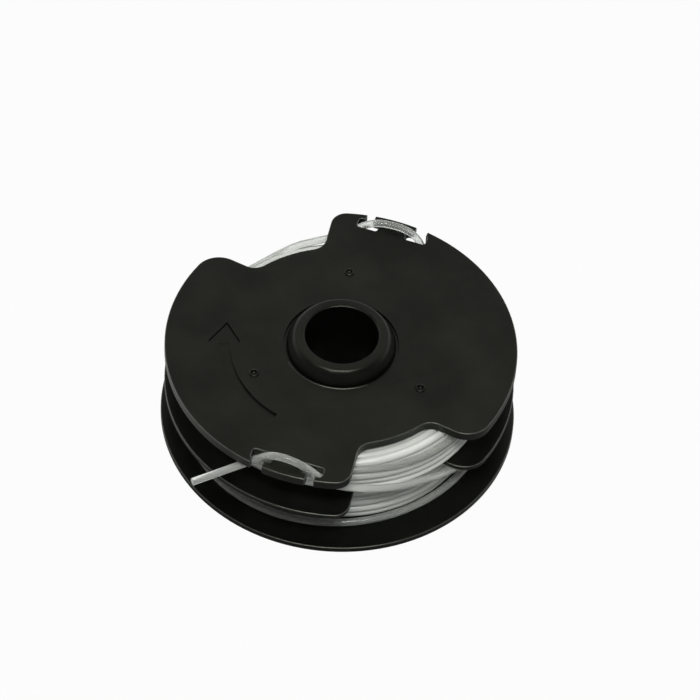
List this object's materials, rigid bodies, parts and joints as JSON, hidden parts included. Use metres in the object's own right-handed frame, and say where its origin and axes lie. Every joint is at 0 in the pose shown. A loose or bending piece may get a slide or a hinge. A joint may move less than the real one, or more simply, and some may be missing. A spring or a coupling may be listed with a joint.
{
  "type": "trimmer line spool",
  "caption": "Flanged moulded spool with a collared through bore, wound with clear nylon cutting line in stacked channels, the line ends clipped over tabs in its notched rim.",
  "frame": {"origin": "on the bore's axis, on the underside of the bottom flange", "axes": "+Z along the bore, from the bottom flange towards the collar; the cut-outs lie on +Y and -Y"},
  "size_m": [0.0817, 0.0776, 0.0262],
  "materials": {
    "spool_plastic": "black moulded plastic with a fine satin grain",
    "line_nylon": "clear milky extruded nylon"
  },
  "bodies": {
    "root": {"spool_body": "spool_plastic", "upper_line_winding": "line_nylon", "lower_line_winding": "line_nylon", "upper_line_tail": "line_nylon", "lower_line_tail": "line_nylon"}
  },
  "joints": []
}
